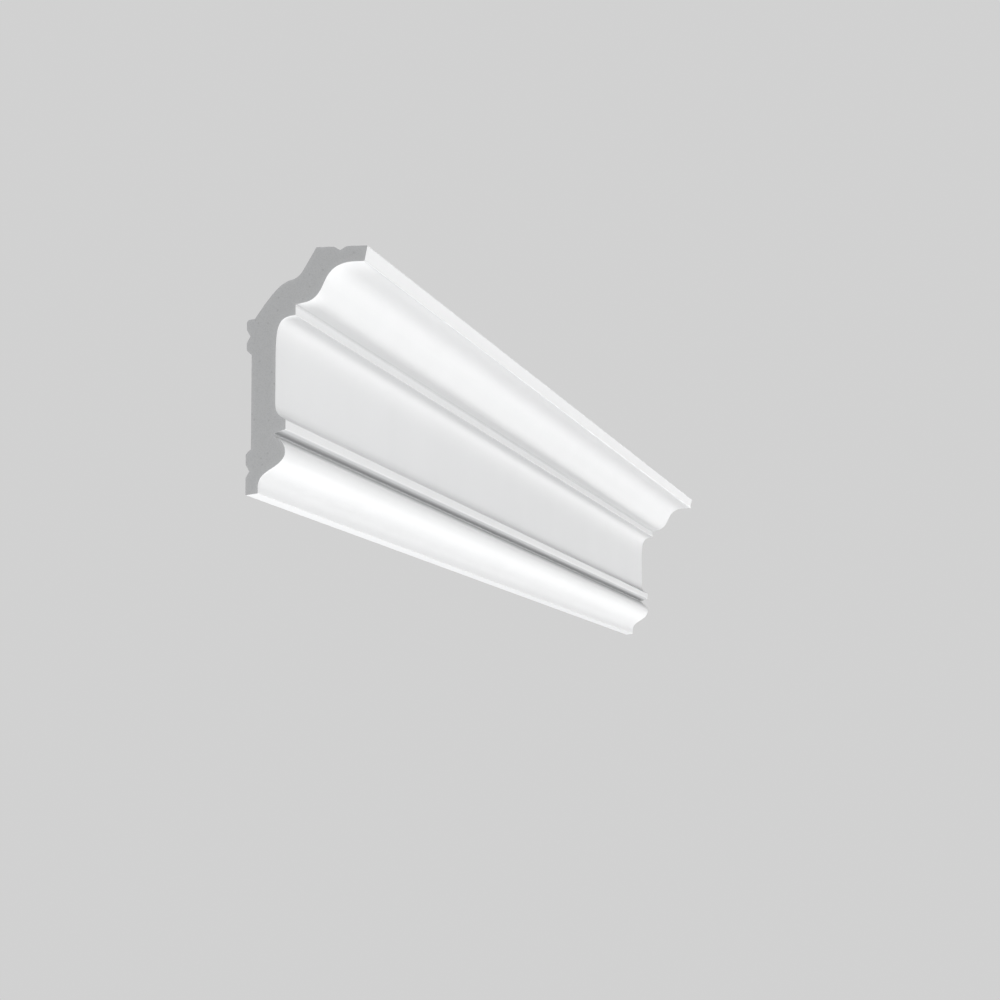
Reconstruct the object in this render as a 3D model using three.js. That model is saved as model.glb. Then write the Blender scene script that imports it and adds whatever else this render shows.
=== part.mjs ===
// A length of cornice moulding, the trim that closes the corner between a wall and a ceiling.
// It is one piece of moulded foam with a white primed skin, cut square at both ends.
//
// The section is drawn in millimetres, out from the wall and up from the foot, and extruded along the length.
// In the part's frame X runs along the length, the wall is the plane Y = 0 with the room on its -Y side,
// and Z is up. The origin is on the wall face, half way along, at the middle of the foot's glue pad.
import * as THREE from 'three';

// Overall size
const LENGTH = 1000;
const HEIGHT = 100;
const PROJECTION = 50;

// Foot: a thin edge on the wall whose underside rises a little towards the room
const FOOT_OUT = 5.1;
const FOOT_RISE = 0.65;
const FOOT_TOP = 2.4;

// Base ogee: hollow below, round above, swelling to a belly
const OGEE_MIDDLE = new THREE.Vector2(10.8, 10.6);
const OGEE_SLOPE = 31;
const BELLY_OUT = 16.3;
const BELLY_UP = 17.4;

// Quirk: the V groove between the ogee and the band, with a blunt tip
const QUIRK_MOUTH = new THREE.Vector2(14.6, 21.5);
const QUIRK_TIP_OUT = 12.3;
const QUIRK_TIP_HEIGHT = 1.5;
const QUIRK_FLOOR_SLOPE = 40;
const QUIRK_ROOF_SLOPE = 18;

// Band: the narrow upright fillet above the quirk
const BAND_OUT = 16.45;
const BAND_TOP = 30.3;
const BAND_EDGE = 0.5;

// Frieze: the tall flat face between two cavettos
const FRIEZE_OUT = 12.1;
const FRIEZE_BOTTOM = 37.5;
const FRIEZE_TOP = 57;
const LOWER_CAVETTO_SLOPE = 28;
const UPPER_CAVETTO_SLOPE = 7;

// Fascia: the upright fillet below the crown
const FASCIA_OUT = 20.25;
const FASCIA_BOTTOM = 72.6;
const FASCIA_TOP = 76.8;

// Crown cyma: round below, hollow above, running out to the soffit of the lip
const CYMA_MIDDLE = new THREE.Vector2(32, 85.4);
const CYMA_SLOPE = 64.7;
const CYMA_STRAIGHT = 2.9;
const CYMA_ROUND_START = 4;
const CYMA_ROUND_SLOPE = 12;
const COVE_END = 44.9;

// Lip: the leaning edge under the ceiling
const LIP_HEIGHT = 6.4;
const LIP_LEAN = 1.25;
const LIP_EDGE = 0.35;

// Top pad and the hollow back between ceiling and wall
const TOP_PAD_BACK = 28.8;
const BACK_STEEP_END = new THREE.Vector2(24, 91.9);
const BACK_STEEP_SLOPE = 60;
const BACK_SHOULDER = new THREE.Vector2(18.3, 87);
const BACK_SHOULDER_SLOPE = 17;
const BACK_SLOPE_END = new THREE.Vector2(3.3, 71.6);
const BACK_SLOPE = 55;

// Wall pads, the recess between them with its ramps, and the glue keys
const UPPER_PAD_TOP = 71.3;
const UPPER_PAD_EDGE = 1.5;
const UPPER_PAD_BOTTOM = 59.3;
const FOOT_PAD_TOP = 16;
const RECESS_DEPTH = 2.1;
const RAMP_HEIGHT = 2.5;
const RAMP_SLOPE = 35;
const KEY_WIDTH = 5.3;
const KEY_DEPTH = 1.5;
const FOOT_KEY_UP = 9.6;
const UPPER_KEY_UP = 64.4;
const TOP_KEY_OUT = 38.7;

// Headings in the section, in degrees
const OUT = 0;
const UP = 90;
const BACK = 180;
const DOWN = 270;

// How full a bend is: the share of the way to its corner that each curve handle reaches
const ROUND = 0.62;
const FULL = 0.72;
const VERY_FULL = 0.82;
const FULLEST = 0.95;
const CURVE_STEPS = 24;

// White primer on the moulded skin
const PRIMER = { color: 0xf3f3f1, roughness: 0.62, metalness: 0 };

// Directions in the section, as (out, up)
const OUTWARDS = new THREE.Vector2(1, 0);
const TOWARDS_WALL = new THREE.Vector2(-1, 0);
const DOWNWARDS = new THREE.Vector2(0, -1);

// Height of the origin above the foot: the middle of the flat between the foot and its glue key
const ORIGIN_UP = (FOOT_KEY_UP - KEY_WIDTH / 2) / 2;

function heading(degrees) {
  const angle = THREE.MathUtils.degToRad(degrees);
  return new THREE.Vector2(Math.cos(angle), Math.sin(angle));
}

// The corner where a line leaving one point meets a line arriving at another.
function cornerBetween(from, leave, to, arrive) {
  const gap = to.clone().sub(from);
  const reach = gap.cross(arrive) / leave.cross(arrive);
  return from.clone().addScaledVector(leave, reach);
}

// Carries the outline to a point in one smooth bend, leaving along one heading and arriving along another.
// The bend can be fuller where it leaves than where it arrives, or the other way round.
function bendTo(outline, leaveDegrees, arriveDegrees, to, leaveFull = ROUND, arriveFull = leaveFull) {
  const from = outline.currentPoint.clone();
  const corner = cornerBetween(from, heading(leaveDegrees), to, heading(arriveDegrees));
  const first = from.clone().lerp(corner, leaveFull);
  const second = to.clone().lerp(corner, arriveFull);
  outline.bezierCurveTo(first.x, first.y, second.x, second.y, to.x, to.y);
}

// Draws a V-shaped glue key, met while travelling along a contact face.
function glueKey(outline, centre, travel, inward) {
  const half = travel.clone().multiplyScalar(KEY_WIDTH / 2);
  const start = centre.clone().sub(half);
  const tip = centre.clone().addScaledVector(inward, KEY_DEPTH);
  const end = centre.clone().add(half);
  outline.lineTo(start.x, start.y);
  outline.lineTo(tip.x, tip.y);
  outline.lineTo(end.x, end.y);
}

function drawBaseOgee(outline) {
  outline.lineTo(FOOT_OUT, FOOT_RISE);
  outline.lineTo(FOOT_OUT, FOOT_TOP);
  bendTo(outline, UP, OGEE_SLOPE, OGEE_MIDDLE, VERY_FULL);
  bendTo(outline, OGEE_SLOPE, UP, new THREE.Vector2(BELLY_OUT, BELLY_UP), FULL);
  bendTo(outline, UP, BACK - QUIRK_FLOOR_SLOPE, QUIRK_MOUTH);
}

function drawQuirkAndBand(outline) {
  const floorRise = Math.tan(THREE.MathUtils.degToRad(QUIRK_FLOOR_SLOPE));
  const roofRise = Math.tan(THREE.MathUtils.degToRad(QUIRK_ROOF_SLOPE));
  const tipFloor = QUIRK_MOUTH.y + (QUIRK_MOUTH.x - QUIRK_TIP_OUT) * floorRise;
  const tipRoof = tipFloor + QUIRK_TIP_HEIGHT;
  const roofEnd = BAND_OUT - BAND_EDGE;
  const bandBottom = tipRoof + (roofEnd - QUIRK_TIP_OUT) * roofRise;
  outline.lineTo(QUIRK_TIP_OUT, tipFloor);
  bendTo(outline, BACK - QUIRK_FLOOR_SLOPE, QUIRK_ROOF_SLOPE, new THREE.Vector2(QUIRK_TIP_OUT, tipRoof));
  outline.lineTo(roofEnd, bandBottom);
  bendTo(outline, QUIRK_ROOF_SLOPE, UP, new THREE.Vector2(BAND_OUT, bandBottom + BAND_EDGE));
  outline.lineTo(BAND_OUT, BAND_TOP);
}

function drawFriezeAndFascia(outline) {
  bendTo(outline, BACK - LOWER_CAVETTO_SLOPE, UP, new THREE.Vector2(FRIEZE_OUT, FRIEZE_BOTTOM), VERY_FULL);
  outline.lineTo(FRIEZE_OUT, FRIEZE_TOP);
  bendTo(outline, UP, UPPER_CAVETTO_SLOPE, new THREE.Vector2(FASCIA_OUT, FASCIA_BOTTOM), FULLEST, FULL);
  outline.lineTo(FASCIA_OUT, FASCIA_TOP);
}

function drawCrown(outline) {
  const soffit = HEIGHT - LIP_HEIGHT;
  const shallow = heading(CYMA_ROUND_SLOPE);
  const steep = heading(CYMA_SLOPE);
  const roundStart = outline.currentPoint.clone().addScaledVector(shallow, CYMA_ROUND_START);
  const roundEnd = CYMA_MIDDLE.clone().addScaledVector(steep, -CYMA_STRAIGHT / 2);
  const coveStart = CYMA_MIDDLE.clone().addScaledVector(steep, CYMA_STRAIGHT / 2);
  const edgeLean = LIP_LEAN * LIP_EDGE / LIP_HEIGHT;
  const lipBottom = PROJECTION - LIP_LEAN;
  outline.lineTo(roundStart.x, roundStart.y);
  bendTo(outline, CYMA_ROUND_SLOPE, CYMA_SLOPE, roundEnd, ROUND, VERY_FULL);
  outline.lineTo(coveStart.x, coveStart.y);
  bendTo(outline, CYMA_SLOPE, OUT, new THREE.Vector2(COVE_END, soffit), ROUND, FULL);
  outline.lineTo(lipBottom - LIP_EDGE, soffit);
  outline.lineTo(lipBottom + edgeLean, soffit + LIP_EDGE);
  outline.lineTo(PROJECTION, HEIGHT);
}

function drawTopAndHollowBack(outline) {
  glueKey(outline, new THREE.Vector2(TOP_KEY_OUT, HEIGHT), TOWARDS_WALL, DOWNWARDS);
  outline.lineTo(TOP_PAD_BACK, HEIGHT);
  outline.lineTo(BACK_STEEP_END.x, BACK_STEEP_END.y);
  bendTo(outline, BACK + BACK_STEEP_SLOPE, BACK + BACK_SHOULDER_SLOPE, BACK_SHOULDER, VERY_FULL);
  bendTo(outline, BACK + BACK_SHOULDER_SLOPE, BACK + BACK_SLOPE, BACK_SLOPE_END, VERY_FULL);
  outline.lineTo(UPPER_PAD_EDGE, UPPER_PAD_TOP);
  bendTo(outline, BACK, DOWN, new THREE.Vector2(0, UPPER_PAD_TOP - UPPER_PAD_EDGE));
}

function drawWallFace(outline) {
  glueKey(outline, new THREE.Vector2(0, UPPER_KEY_UP), DOWNWARDS, OUTWARDS);
  outline.lineTo(0, UPPER_PAD_BOTTOM);
  bendTo(outline, DOWN, -RAMP_SLOPE, new THREE.Vector2(RECESS_DEPTH, UPPER_PAD_BOTTOM - RAMP_HEIGHT));
  outline.lineTo(RECESS_DEPTH, FOOT_PAD_TOP + RAMP_HEIGHT);
  bendTo(outline, BACK + RAMP_SLOPE, DOWN, new THREE.Vector2(0, FOOT_PAD_TOP));
  glueKey(outline, new THREE.Vector2(0, FOOT_KEY_UP), DOWNWARDS, OUTWARDS);
  outline.closePath();
}

// The section, from the wall foot up the face to the lip, then across the top and down the back.
function sectionOutline() {
  const outline = new THREE.Shape();
  outline.moveTo(0, 0);
  drawBaseOgee(outline);
  drawQuirkAndBand(outline);
  drawFriezeAndFascia(outline);
  drawCrown(outline);
  drawTopAndHollowBack(outline);
  drawWallFace(outline);
  return outline;
}

function cornice() {
  const geometry = new THREE.ExtrudeGeometry(sectionOutline(), {
    depth: LENGTH,
    bevelEnabled: false,
    curveSegments: CURVE_STEPS,
  });
  const material = new THREE.MeshStandardMaterial(PRIMER);
  const mesh = new THREE.Mesh(geometry, material);
  mesh.name = 'cornice_length';
  // Turns the section upright: out from the wall becomes -Y, up becomes Z and the extrusion runs along -X.
  mesh.rotation.set(Math.PI / 2, 0, -Math.PI / 2, 'ZYX');
  mesh.position.set(LENGTH / 2, 0, -ORIGIN_UP);
  return mesh;
}

const object = new THREE.Group();
object.add(cornice());

export default object;
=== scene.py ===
"""Looks of a cornice moulding length: a white primed foam moulding with its two sawn ends.

X runs along the length, the wall is the plane Y = 0 with the room on its -Y side, and Z is up.
The section is handled in (out, up) points: out from the wall, which is -Y, and up, which is Z.
"""
import math
import random

import bmesh
import bpy
import numpy
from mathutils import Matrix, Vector
from mathutils import noise
from mathutils.geometry import delaunay_2d_cdt


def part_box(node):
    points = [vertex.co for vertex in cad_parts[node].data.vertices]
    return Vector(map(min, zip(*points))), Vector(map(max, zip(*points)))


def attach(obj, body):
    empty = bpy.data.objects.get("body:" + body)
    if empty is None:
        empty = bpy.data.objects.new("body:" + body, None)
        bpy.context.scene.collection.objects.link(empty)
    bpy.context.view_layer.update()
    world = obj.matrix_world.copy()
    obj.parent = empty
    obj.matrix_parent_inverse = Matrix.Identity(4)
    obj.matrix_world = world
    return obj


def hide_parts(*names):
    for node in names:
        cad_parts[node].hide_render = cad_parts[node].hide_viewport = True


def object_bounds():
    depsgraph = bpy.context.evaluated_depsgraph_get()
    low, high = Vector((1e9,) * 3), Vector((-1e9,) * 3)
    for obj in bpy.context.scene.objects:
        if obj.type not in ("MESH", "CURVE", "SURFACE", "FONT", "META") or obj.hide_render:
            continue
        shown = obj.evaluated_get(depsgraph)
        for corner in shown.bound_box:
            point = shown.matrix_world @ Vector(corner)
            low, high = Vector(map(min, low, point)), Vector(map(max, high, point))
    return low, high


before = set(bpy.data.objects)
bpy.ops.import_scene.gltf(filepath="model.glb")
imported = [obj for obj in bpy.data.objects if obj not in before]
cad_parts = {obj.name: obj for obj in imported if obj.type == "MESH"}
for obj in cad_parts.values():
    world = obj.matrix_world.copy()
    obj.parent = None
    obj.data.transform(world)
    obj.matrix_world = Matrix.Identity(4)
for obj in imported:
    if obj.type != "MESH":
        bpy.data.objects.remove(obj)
cad_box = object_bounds()

MM = 0.001
NODE = "cornice_length"
SEED = 11

# Section: points closer than the weld are one, and turns sharper than the corner turn are corners.
# Rounding a corner takes at most a share of the stretch on each side. The arris's wear and painted
# shade fade out beside it.
WELD = 0.001 * MM
CORNER_TURN = math.radians(20)
CORNER_RADIUS = 0.3 * MM
CORNER_STEP = math.radians(18)
LARGEST_TRIM = 0.45
LONGEST_STEP = 2.5 * MM
ARRIS_FADE = 0.2 * MM

# Length: rings of points along it, and the narrow broken edge round each sawn end
RING_SPACING = 50 * MM
SAWN_EDGE_LENGTH = 0.15 * MM
SAWN_EDGE_INSET = 0.08 * MM
SAWN_EDGE_RAGGED = 0.6
SAWN_EDGE_GRAIN = 1.6 * MM

# Sawn ends: inner points, so that the surface knows how deep below the skin it is
CORE_SPACING = 1.4 * MM
CORE_CLEARANCE = 0.6 * MM
CORE_JITTER = 0.25

# Triangles of a sawn end: only those inside its outline, with no points merged but equal ones
INSIDE_ONLY = 1
SAME_POINT = 0.0001 * MM

# Surface map: the sides are a strip along its lower part, and the ends lie side by side above it
MAP_MARGIN = 0.01
MAP_SIDE_HEIGHT = 0.75
MAP_END_SCALE = 4
MAP_NEAR_END = Vector((0.03, 0.78))
MAP_FAR_END = Vector((0.53, 0.78))

# How far the sprayed primer runs on, past the lip and the foot, over the bare back
OVERSPRAY = 7 * MM

# Shelter, which sets the painted shade: walls nearer than this close a point in, looking out over this
# spread in this many ways
SHELTER_REACH = 12 * MM
SHELTER_SPREAD = math.radians(80)
SHELTER_WAYS = 19
SHELTER_LIFT = 0.02 * MM

# Painted shade is this much deeper on undersides and this much less on ledges, evened out over this
# way along the section
UNDERSIDE_SHADE = 0.25
SHADE_BLUR = 0.8 * MM

# Materials: a colour is red, green, blue and alpha, and a pair is the two ends of a range
WHOLE = (0.0, 1.0)
FADING_OUT = (1.0, 0.0)
USUAL_NOISE = (0.3, 0.7)
RELIEF_STRENGTH = 0.35

# Primer: white with faint clouds, specks and drawn lines, greyed by painted shade in grooves and under
# overhangs, and greyer on arrises with wear and painted shade
PRIMER_DARK = (0.79, 0.795, 0.80, 1)
PRIMER_LIGHT = (0.82, 0.825, 0.83, 1)
PRIMER_PAINTED_SHADE = (0.34, 0.345, 0.35, 1)
PRIMER_WORN_SHADED = (0.56, 0.565, 0.57, 1)
PRIMER_ROUGHNESS = (0.55, 0.68)
PRIMER_RELIEF = 0.02 * MM
CLOUD_GRAIN = 45 * MM
CLOUD_DETAIL = 3.0
SPECK_GRAIN = 0.8 * MM
DRAWN_GRAIN = 1.1 * MM
DRAWN_STRETCH = 160
DRAWN_HEIGHT = 0.5
PAINTED_SHADE_SHELTER = (0.26, 0.58)
WEAR_AND_SHADE_GRAIN = 9 * MM
WEAR_AND_SHADE_SHARE = (0.65, 0.9)
WEAR_POLISH = 0.1

# Bare skin on the back, and the ragged edge where the primer runs out over it
BARE_DARK = (0.60, 0.605, 0.60, 1)
BARE_LIGHT = (0.68, 0.68, 0.67, 1)
RAGGED_GRAIN = 6 * MM
RAGGED_DETAIL = 4.0
RAGGED_EDGE = (0.55, 0.95)

# Sawn foam: fine cells with painted shade in their pits, a few open bubbles painted as shaded holes,
# faint saw marks, and a denser rim below the skin
FOAM_DARK = (0.41, 0.415, 0.42, 1)
FOAM_LIGHT = (0.455, 0.46, 0.465, 1)
FOAM_ROUGHNESS = (0.95, 0.82)
FOAM_RELIEF = 0.06 * MM
CELL_SIZE = 0.55 * MM
CELL_SPAN = (0.1, 0.6)
CELL_WALL = (0.1, 0.5)
CELL_HEIGHT = (0.0, 0.6)
BUBBLE_SHADE = (0.32, 0.32, 0.325, 1)
BUBBLE_SPACING = 3.2 * MM
BUBBLE_EDGE = (0.1, 0.16)
BUBBLE_SHARE = (0.5, 0.0)
SAW_GRAIN = 1 * MM
SAW_HEIGHT = 0.5
RIM_GREY = (0.62, 0.625, 0.63, 1)
RIM_DEPTH = (0.0, 2.2 * MM)
RIM_SHARE = (0.12, 0.0)

# Sockets of the mix node when it mixes colours
MIX_SHARE = 0
MIX_FIRST = 6
MIX_SECOND = 7
MIX_RESULT = 2

# Camera, measured from the moulding's near end, wall plane and foot
CAMERA_BEFORE_END = 1.0958
CAMERA_FROM_WALL = 0.3232
CAMERA_BELOW_FOOT = 0.1210
CAMERA_TURN = math.radians(11.30)
CAMERA_RISE = math.radians(5.975)
CAMERA_LENS = 102.64
SENSOR_WIDTH = 36

# Studio: a floor well below the moulding, which fades into the pale surround
FLOOR_DROP = 2.6
FLOOR_RADIUS = 9
FLOOR_SIDES = 96
FLOOR_FADE = (4, FLOOR_RADIUS)
FLOOR_DARK = (0.86, 0.86, 0.86, 1)
FLOOR_LIGHT = (0.9, 0.9, 0.9, 1)
FLOOR_ROUGHNESS = (0.75, 0.85)
FLOOR_CLOUD = 0.9
FLOOR_GRAIN = 0.2
WHITE = (1, 1, 1, 1)
DOME_STRENGTH = 0.25
BACKDROP_STRENGTH = 0.64

# Lights: soft round boxes aimed at the middle of the moulding, as wide as half their distance.
# Each has an azimuth and an elevation in degrees, a distance in metres and a power in watts.
LIGHT_SPREAD = 0.5
LIGHTS = {
    "near_light": (-80, -10, 1.5, 5),
    "front_light": (-30, 0, 1.5, 7.1),
    "side_light": (70, 0, 5, 22),
    "far_light": (80, -8, 5, 96),
    "under_light": (-135, -60, 2.5, 37),
    "top_light": (0, 75, 2.5, 91),
}


def end_outline(node):
    """The section in order round the node's near end: foot, face, lip, top, back."""
    work = bmesh.new()
    work.from_mesh(node.data)
    bmesh.ops.remove_doubles(work, verts=work.verts, dist=WELD)
    near = min(vertex.co.x for vertex in work.verts)
    cap = {face for face in work.faces if all(v.co.x - near < WELD for v in face.verts)}
    following = {}
    for face in cap:
        for loop in face.loops:
            if len(cap.intersection(loop.edge.link_faces)) == 1:
                following[loop.vert] = loop.link_loop_next.vert
    foot = min(following, key=lambda vertex: vertex.co.z - vertex.co.y)
    ordered = [foot]
    while following[ordered[-1]] is not foot:
        ordered.append(following[ordered[-1]])
    points = [Vector((-vertex.co.y, vertex.co.z)) for vertex in ordered]
    work.free()
    return points


def with_neighbours(points):
    """Each point of a closed outline, with the one before it and the one after it."""
    return zip(points[-1:] + points[:-1], points, points[1:] + points[:1])


def turn_at(before, corner, after):
    """How far the outline turns at a corner: above zero on an arris, below zero in a hollow."""
    arriving = corner - before
    leaving = after - corner
    return math.atan2(arriving.cross(leaving), arriving.dot(leaving))


def rounded(points):
    """The outline with its sharp corners rounded. Each point says if it is on an arris."""
    result = []
    for before, corner, after in with_neighbours(points):
        turn = turn_at(before, corner, after)
        if abs(turn) < CORNER_TURN:
            result.append((corner, 0.0))
            continue
        back = before - corner
        ahead = after - corner
        room = LARGEST_TRIM * min(back.length, ahead.length)
        trim = min(CORNER_RADIUS * math.tan(abs(turn) / 2), room)
        start = corner + back.normalized() * trim
        end = corner + ahead.normalized() * trim
        steps = math.ceil(abs(turn) / CORNER_STEP)
        for step in range(steps + 1):
            share = step / steps
            point = start.lerp(corner, share).lerp(corner.lerp(end, share), share)
            result.append((point, 1.0 if turn > 0 else 0.0))
    return result


def subdivided(section):
    """The section with its long straight stretches cut into short steps, and beside each arris."""
    result = []
    for (point, arris), (after, after_arris) in zip(section, section[1:] + section[:1]):
        length = (after - point).length
        steps = math.ceil(length / LONGEST_STEP)
        cuts = [length * step / steps for step in range(1, steps)]
        has_room = length > 2 * ARRIS_FADE
        if has_room and arris:
            cuts.insert(0, ARRIS_FADE)
        if has_room and after_arris:
            cuts.append(length - ARRIS_FADE)
        result.append((point, arris))
        result += [(point.lerp(after, cut / length), 0.0) for cut in cuts]
    return result


class Section:
    """The finished section: its points, their outward normals, and what the surface needs to know.

    An arris counts for more the further it stands out from the wall, where it is knocked more often.
    """

    def __init__(self, node):
        made = subdivided(rounded(end_outline(node)))
        self.points = [point for point, arris in made]
        reach = max(point.x for point in self.points)
        self.arris = [arris * point.x / reach for point, arris in made]
        self.normals = [self.normal(*three) for three in with_neighbours(self.points)]
        self.along = self.distances()
        self.coverage = self.primer_coverage()
        self.shelter = self.painted_shade_shelter()

    @staticmethod
    def normal(before, point, after):
        """The outward normal at a point."""
        travel = (point - before).normalized() + (after - point).normalized()
        return Vector((travel.y, -travel.x)).normalized()

    def distances(self):
        """The way round to each point, and last the whole way round."""
        along = [0.0]
        for point, after in zip(self.points, self.points[1:] + self.points[:1]):
            along.append(along[-1] + (after - point).length)
        return along

    def primer_coverage(self):
        """The primer's cover: all of the face, fading out on the top and the back."""
        lip = max(range(len(self.points)), key=lambda i: sum(self.points[i]))
        places = numpy.array(self.along[:-1])
        past = numpy.minimum(places - self.along[lip], self.along[-1] - places)
        return numpy.clip(1 - past / OVERSPRAY, 0, 1)

    def painted_shade_shelter(self):
        """How much painted shade each point gets: most in a groove or under an overhang, less on a
        ledge.
        """
        normals = numpy.array(self.normals)
        shelter = sheltered(numpy.array(self.points), normals) * (1 - UNDERSIDE_SHADE * normals[:, 1])
        places = numpy.array(self.along[:-1])
        apart = places[:, None] - places[None, :]
        weights = numpy.exp(-(apart / SHADE_BLUR) ** 2) * numpy.diff(self.along)
        return weights @ shelter / weights.sum(axis=1)

    def inset(self, end):
        """The points drawn in a little, unevenly, as a saw breaks the edge of an end."""
        result = []
        for point, normal in zip(self.points, self.normals):
            grain = noise.noise(Vector((*point, end)) / SAWN_EDGE_GRAIN)
            depth = SAWN_EDGE_INSET * (1 + SAWN_EDGE_RAGGED * grain)
            result.append(point - normal * depth)
        return result


def sheltered(points, normals):
    """How closed in each point is by walls near it: 0 in the open, 1 deep in a groove."""
    steps = numpy.roll(points, -1, axis=0) - points
    gaps = points[None, :, :] - (points + normals * SHELTER_LIFT)[:, None, :]
    closed = numpy.zeros(len(points))
    whole = 0.0
    for turn in numpy.linspace(-SHELTER_SPREAD, SHELTER_SPREAD, SHELTER_WAYS):
        spin = numpy.array(((math.cos(turn), math.sin(turn)), (-math.sin(turn), math.cos(turn))))
        ways = (normals @ spin)[:, None, :]
        across = cross(ways, steps)
        away = cross(gaps, steps) / across
        share = cross(gaps, ways) / across
        met = (away > 0) & (share >= 0) & (share <= 1)
        nearest = numpy.where(met, away, numpy.inf).min(axis=1)
        closed += math.cos(turn) * numpy.clip(1 - nearest / SHELTER_REACH, 0, 1)
        whole += math.cos(turn)
    return closed / whole


def cross(first, second):
    """The cross products of two arrays of flat vectors."""
    return first[..., 0] * second[..., 1] - first[..., 1] * second[..., 0]


def in_frame(x, point):
    """A point of the section, at a place along the length, in the frame."""
    return Vector((x, -point.x, point.y))


def outline_distances(places, outline):
    """How far each place is from a closed outline."""
    starts = numpy.array(outline)
    steps = numpy.roll(starts, -1, axis=0) - starts
    gaps = numpy.array(places)[:, None, :] - starts[None, :, :]
    shares = (gaps * steps).sum(axis=2) / (steps ** 2).sum(axis=1)
    nearest = gaps - numpy.clip(shares, 0, 1)[:, :, None] * steps
    return numpy.sqrt((nearest ** 2).sum(axis=2)).min(axis=1)


def core_points(outline):
    """A loose grid of points over the outline's box, clear of the outline."""
    chance = random.Random(SEED)
    low = Vector((min(p.x for p in outline), min(p.y for p in outline)))
    high = Vector((max(p.x for p in outline), max(p.y for p in outline)))
    columns = math.ceil((high.x - low.x) / CORE_SPACING)
    rows = math.ceil((high.y - low.y) / CORE_SPACING)
    places = []
    for row in range(rows):
        shift = (row % 2) / 2
        for column in range(columns):
            across = column + shift + chance.uniform(-CORE_JITTER, CORE_JITTER)
            upwards = row + chance.uniform(-CORE_JITTER, CORE_JITTER)
            places.append(low + Vector((across, upwards)) * CORE_SPACING)
    clear = outline_distances(places, outline) > CORE_CLEARANCE
    return [place for place, is_clear in zip(places, clear) if is_clear]


class MouldingMesh:
    """The moulding's mesh: rings of points along the length, closed by two sawn ends.

    The narrow broken edge round each end shows the core, and all between the two edges is skin.
    """

    SKIN, CORE = 0, 1

    def __init__(self, section, low_x, high_x):
        self.section = section
        self.low_x, self.high_x = low_x, high_x
        self.work = bmesh.new()
        self.coverage = self.work.verts.layers.float.new("coverage")
        self.arris = self.work.verts.layers.float.new("arris")
        self.shelter = self.work.verts.layers.float.new("shelter")
        self.depth = self.work.verts.layers.float.new("depth")
        self.places = self.work.loops.layers.uv.new("OFBake")
        rings = self.make_rings()
        self.join_rings(rings[0], rings[1], self.CORE)
        for near, far in zip(rings[1:-2], rings[2:-1]):
            self.join_rings(near, far, self.SKIN)
        self.join_rings(rings[-2], rings[-1], self.CORE)
        self.close_end(rings[0], low_x, facing_near=True)
        self.close_end(rings[-1], high_x, facing_near=False)

    def ring(self, x, points):
        """The section's points at one place along the length."""
        made = []
        for i, point in enumerate(points):
            vertex = self.work.verts.new(in_frame(x, point))
            vertex[self.coverage] = self.section.coverage[i]
            vertex[self.arris] = self.section.arris[i]
            vertex[self.shelter] = self.section.shelter[i]
            made.append(vertex)
        return made

    def make_rings(self):
        """All rings from the near end to the far end, with the first and the last one drawn in."""
        start = self.low_x + SAWN_EDGE_LENGTH
        end = self.high_x - SAWN_EDGE_LENGTH
        steps = round((end - start) / RING_SPACING)
        rings = [self.ring(self.low_x, self.section.inset(self.low_x))]
        for step in range(steps + 1):
            rings.append(self.ring(start + (end - start) * step / steps, self.section.points))
        rings.append(self.ring(self.high_x, self.section.inset(self.high_x)))
        return rings

    def join_rings(self, near, far, material):
        """The faces between two rings."""
        count = len(near)
        for i in range(count):
            after = (i + 1) % count
            face = self.work.faces.new((near[i], far[i], far[after], near[after]))
            face.smooth = True
            face.material_index = material
            for loop, place in zip(face.loops, (i, i, i + 1, i + 1)):
                loop[self.places].uv = self.side_place(loop.vert.co.x, self.section.along[place])

    def close_end(self, ring, x, facing_near):
        """A sawn end: triangles between its ring and the points inside, with a sharp edge round it."""
        outline = [Vector((-vertex.co.y, vertex.co.z)) for vertex in ring]
        inner = core_points(outline)
        depths = outline_distances(inner, outline)
        rim = list(range(len(ring)))
        places, _, triangles, sources, _, _ = delaunay_2d_cdt(
            outline + inner, [], [rim], INSIDE_ONLY, SAME_POINT
        )
        vertices = {}
        for i in sorted({i for triangle in triangles for i in triangle}):
            source = sources[i][0]
            if source < len(ring):
                vertices[i] = ring[source]
                continue
            vertices[i] = self.work.verts.new(in_frame(x, places[i]))
            vertices[i][self.depth] = depths[source - len(ring)]
        for triangle in triangles:
            corners = [vertices[i] for i in triangle]
            face = self.work.faces.new(corners if facing_near else corners[::-1])
            face.smooth = True
            face.material_index = self.CORE
            for loop in face.loops:
                loop[self.places].uv = self.end_place(loop.vert.co, facing_near)
        for vertex, after in zip(ring, ring[1:] + ring[:1]):
            self.work.edges.get((vertex, after)).smooth = False

    def side_place(self, x, along):
        """Where a point of the sides is on the surface map."""
        share = (x - self.low_x) / (self.high_x - self.low_x)
        width = 1 - 2 * MAP_MARGIN
        height = MAP_SIDE_HEIGHT * along / self.section.along[-1]
        return (MAP_MARGIN + width * share, MAP_MARGIN + height)

    @staticmethod
    def end_place(co, facing_near):
        """Where a point of an end is on the surface map."""
        corner = MAP_NEAR_END if facing_near else MAP_FAR_END
        return corner + MAP_END_SCALE * Vector((co.z, -co.y))

    def finished(self, name):
        """The mesh, after which this maker is used up."""
        mesh = bpy.data.meshes.new(name)
        self.work.to_mesh(mesh)
        self.work.free()
        return mesh


def add_node(tree, kind, inputs=None, **settings):
    """Adds a node. An input is a value, or the output of another node."""
    node = tree.nodes.new(kind)
    for name, value in settings.items():
        setattr(node, name, value)
    for name, value in (inputs or {}).items():
        if isinstance(value, bpy.types.NodeSocket):
            tree.links.new(value, node.inputs[name])
        else:
            node.inputs[name].default_value = value
    return node


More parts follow.
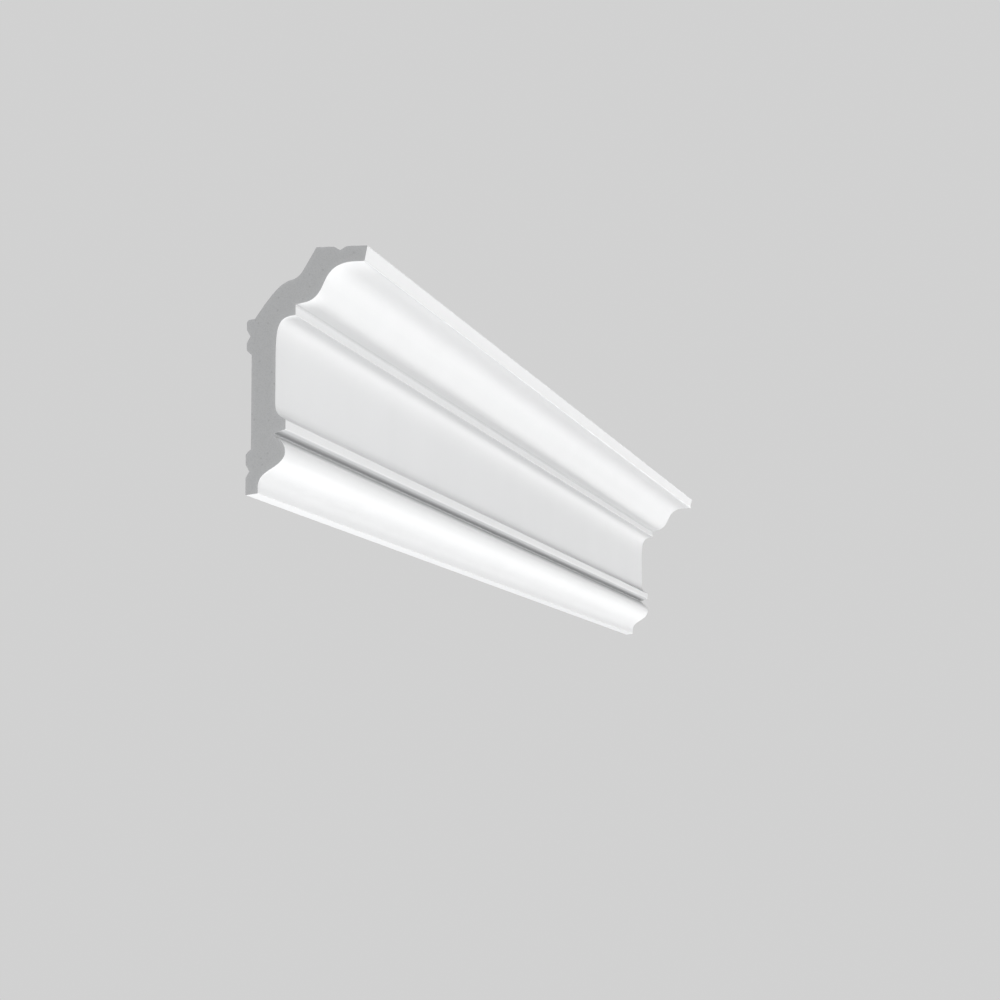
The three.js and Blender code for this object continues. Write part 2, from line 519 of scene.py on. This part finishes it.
def new_material(name):
    """A material with its node tree, its shader and the object's own coordinates in metres."""
    material = bpy.data.materials.new(name)
    material.use_nodes = True
    tree = material.node_tree
    place = add_node(tree, "ShaderNodeTexCoord").outputs["Object"]
    return material, tree, tree.nodes["Principled BSDF"], place


def noise_of(tree, place, grain, detail=2.0, stretch=None):
    """Noise whose features are about one grain across; stretch lengthens them along X."""
    if stretch:
        squeeze = {"Vector": place, "Scale": (1 / stretch, 1, 1)}
        place = add_node(tree, "ShaderNodeMapping", squeeze).outputs["Vector"]
    inputs = {"Vector": place, "Scale": 1 / grain, "Detail": detail}
    return add_node(tree, "ShaderNodeTexNoise", inputs).outputs["Fac"]


def cells_of(tree, place, size):
    """How far each place is from the middle of its cell, for cells of about this size."""
    inputs = {"Vector": place, "Scale": 1 / size}
    return add_node(tree, "ShaderNodeTexVoronoi", inputs).outputs["Distance"]


def attribute(tree, name):
    """A value that the mesh keeps at its points."""
    return add_node(tree, "ShaderNodeAttribute", attribute_name=name).outputs["Fac"]


def ranged(tree, value, span, result=WHOLE):
    """The value, with the span stretched to the result and cut off beyond it."""
    inputs = {
        "Value": value,
        "From Min": span[0],
        "From Max": span[1],
        "To Min": result[0],
        "To Max": result[1],
    }
    return add_node(tree, "ShaderNodeMapRange", inputs).outputs["Result"]


def maths(tree, operation, first, second):
    """The result of an arithmetic operation on two values."""
    return add_node(tree, "ShaderNodeMath", {0: first, 1: second}, operation=operation).outputs[0]


def mixed(tree, share, first, second):
    """A mix of two colours."""
    inputs = {MIX_SHARE: share, MIX_FIRST: first, MIX_SECOND: second}
    return add_node(tree, "ShaderNodeMix", inputs, data_type="RGBA").outputs[MIX_RESULT]


def bumped(tree, height, distance):
    """The normal of a surface with this relief."""
    inputs = {"Height": height, "Distance": distance, "Strength": RELIEF_STRENGTH}
    return add_node(tree, "ShaderNodeBump", inputs).outputs["Normal"]


def wire(tree, shader, **links):
    """Links outputs to the shader's inputs, named in lower case."""
    for name, output in links.items():
        tree.links.new(output, shader.inputs[name.replace("_", " ").title()])


def skin_material():
    """Sprayed white primer over the moulded skin, running out into bare skin on the back."""
    material, tree, shader, place = new_material("primed_skin")
    cloud = noise_of(tree, place, CLOUD_GRAIN, detail=CLOUD_DETAIL)
    speck = noise_of(tree, place, SPECK_GRAIN)
    drawn = noise_of(tree, place, DRAWN_GRAIN, stretch=DRAWN_STRETCH)
    frayed = noise_of(tree, place, RAGGED_GRAIN, detail=RAGGED_DETAIL)
    patchy = ranged(tree, noise_of(tree, place, WEAR_AND_SHADE_GRAIN), USUAL_NOISE, WEAR_AND_SHADE_SHARE)

    clouded_primer = mixed(tree, cloud, PRIMER_DARK, PRIMER_LIGHT)
    # painted shade: the primer turns grey where the section is closed in, as the shade in grooves and
    # under overhangs
    painted_shade = ranged(tree, attribute(tree, "shelter"), PAINTED_SHADE_SHELTER)
    primer = mixed(tree, painted_shade, clouded_primer, PRIMER_PAINTED_SHADE)
    bare = mixed(tree, speck, BARE_DARK, BARE_LIGHT)
    cover = ranged(tree, maths(tree, "ADD", attribute(tree, "coverage"), frayed), RAGGED_EDGE)
    # worn grey primer on the arrises, which is also painted shade that tones down the light they catch
    wear_and_shade = maths(tree, "MULTIPLY", attribute(tree, "arris"), patchy)
    colour = mixed(tree, wear_and_shade, mixed(tree, cover, bare, primer), PRIMER_WORN_SHADED)

    matte = ranged(tree, speck, USUAL_NOISE, PRIMER_ROUGHNESS)
    roughness = maths(tree, "SUBTRACT", matte, maths(tree, "MULTIPLY", wear_and_shade, WEAR_POLISH))
    relief = maths(tree, "ADD", speck, maths(tree, "MULTIPLY", drawn, DRAWN_HEIGHT))
    normal = bumped(tree, relief, PRIMER_RELIEF)
    wire(tree, shader, base_color=colour, roughness=roughness, normal=normal)
    return material


def core_material():
    """Grey foam as the saw leaves it."""
    material, tree, shader, place = new_material("sawn_core")
    cells = cells_of(tree, place, CELL_SIZE)
    bubbles = cells_of(tree, place, BUBBLE_SPACING)
    sawn = noise_of(tree, place, SAW_GRAIN)

    # the pits in the middle of the cells are painted darker, as the shade in them
    foam = mixed(tree, ranged(tree, cells, CELL_SPAN), FOAM_DARK, FOAM_LIGHT)
    # open bubbles: a darker grey painted as the shade inside each hole
    holed = mixed(tree, ranged(tree, bubbles, BUBBLE_EDGE, BUBBLE_SHARE), foam, BUBBLE_SHADE)
    dense = ranged(tree, attribute(tree, "depth"), RIM_DEPTH, RIM_SHARE)
    colour = mixed(tree, dense, holed, RIM_GREY)

    roughness = ranged(tree, cells, CELL_SPAN, FOAM_ROUGHNESS)
    marks = maths(tree, "MULTIPLY", sawn, SAW_HEIGHT)
    relief = maths(tree, "ADD", ranged(tree, cells, CELL_WALL, CELL_HEIGHT), marks)
    normal = bumped(tree, relief, FOAM_RELIEF)
    wire(tree, shader, base_color=colour, roughness=roughness, normal=normal)
    return material


def floor_material():
    """Pale matte studio floor that fades out towards its rim."""
    material, tree, shader, place = new_material("studio_floor")
    colour = mixed(tree, noise_of(tree, place, FLOOR_CLOUD), FLOOR_DARK, FLOOR_LIGHT)
    roughness = ranged(tree, noise_of(tree, place, FLOOR_GRAIN), USUAL_NOISE, FLOOR_ROUGHNESS)
    radius = add_node(tree, "ShaderNodeVectorMath", {0: place}, operation="LENGTH").outputs["Value"]
    alpha = ranged(tree, radius, FLOOR_FADE, FADING_OUT)
    wire(tree, shader, base_color=colour, roughness=roughness, alpha=alpha)
    return material


def add_object(name, data):
    """Puts a new object with this mesh, camera or light in the scene."""
    made = bpy.data.objects.new(name, data)
    bpy.context.scene.collection.objects.link(made)
    return made


def make_moulding():
    """The moulding, dressed over the node that it replaces."""
    low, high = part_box(NODE)
    section = Section(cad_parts[NODE])
    mesh = MouldingMesh(section, low.x, high.x).finished("cornice")
    mesh.materials.append(skin_material())
    mesh.materials.append(core_material())
    cornice = add_object("cornice", mesh)
    flat_first = cornice.modifiers.new("flat_faces_first", "WEIGHTED_NORMAL")
    flat_first.keep_sharp = True
    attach(cornice, "root")
    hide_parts(NODE)


def make_floor():
    """A round floor, which is part of the studio."""
    work = bmesh.new()
    bmesh.ops.create_circle(work, cap_ends=True, radius=FLOOR_RADIUS, segments=FLOOR_SIDES)
    mesh = bpy.data.meshes.new("floor")
    work.to_mesh(mesh)
    work.free()
    mesh.materials.append(floor_material())
    floor = add_object("floor", mesh)
    floor.location.z = cad_box[0].z - FLOOR_DROP


def make_camera():
    """The camera, near the wall and below the moulding, looking slightly up along it."""
    low, high = cad_box
    data = bpy.data.cameras.new("camera")
    data.lens = CAMERA_LENS
    data.sensor_width = SENSOR_WIDTH
    camera = add_object("camera", data)
    camera.location = (
        low.x - CAMERA_BEFORE_END,
        high.y - CAMERA_FROM_WALL,
        low.z - CAMERA_BELOW_FOOT,
    )
    level = math.cos(CAMERA_RISE)
    looking = Vector((
        level * math.cos(CAMERA_TURN),
        level * math.sin(CAMERA_TURN),
        math.sin(CAMERA_RISE),
    ))
    camera.rotation_euler = looking.to_track_quat("-Z", "Y").to_euler()
    bpy.context.scene.camera = camera


def make_world():
    """A plain surround: pale behind the moulding, and a soft dome of light round it."""
    world = bpy.data.worlds.new("studio")
    world.use_nodes = True
    tree = world.node_tree
    seen = add_node(tree, "ShaderNodeLightPath").outputs["Is Camera Ray"]
    strength = ranged(tree, seen, WHOLE, (DOME_STRENGTH, BACKDROP_STRENGTH))
    shader = tree.nodes["Background"]
    shader.inputs["Color"].default_value = WHITE
    tree.links.new(strength, shader.inputs["Strength"])
    bpy.context.scene.world = world


def make_light(name, azimuth, elevation, distance, power):
    """A soft box. Azimuth 0 is out in the room and -90 is on the camera's side."""
    low, high = cad_box
    level = math.cos(math.radians(elevation))
    towards = Vector((
        math.sin(math.radians(azimuth)) * level,
        -math.cos(math.radians(azimuth)) * level,
        math.sin(math.radians(elevation)),
    ))
    data = bpy.data.lights.new(name, "AREA")
    data.shape = "DISK"
    data.size = LIGHT_SPREAD * distance
    data.energy = power
    light = add_object(name, data)
    light.location = (low + high) / 2 + towards * distance
    light.rotation_euler = towards.to_track_quat("Z", "Y").to_euler()
    light.visible_camera = False


bpy.context.scene.view_settings.view_transform = "Standard"
make_moulding()
make_floor()
make_camera()
make_world()
for light_name, light_setting in LIGHTS.items():
    make_light(light_name, *light_setting)
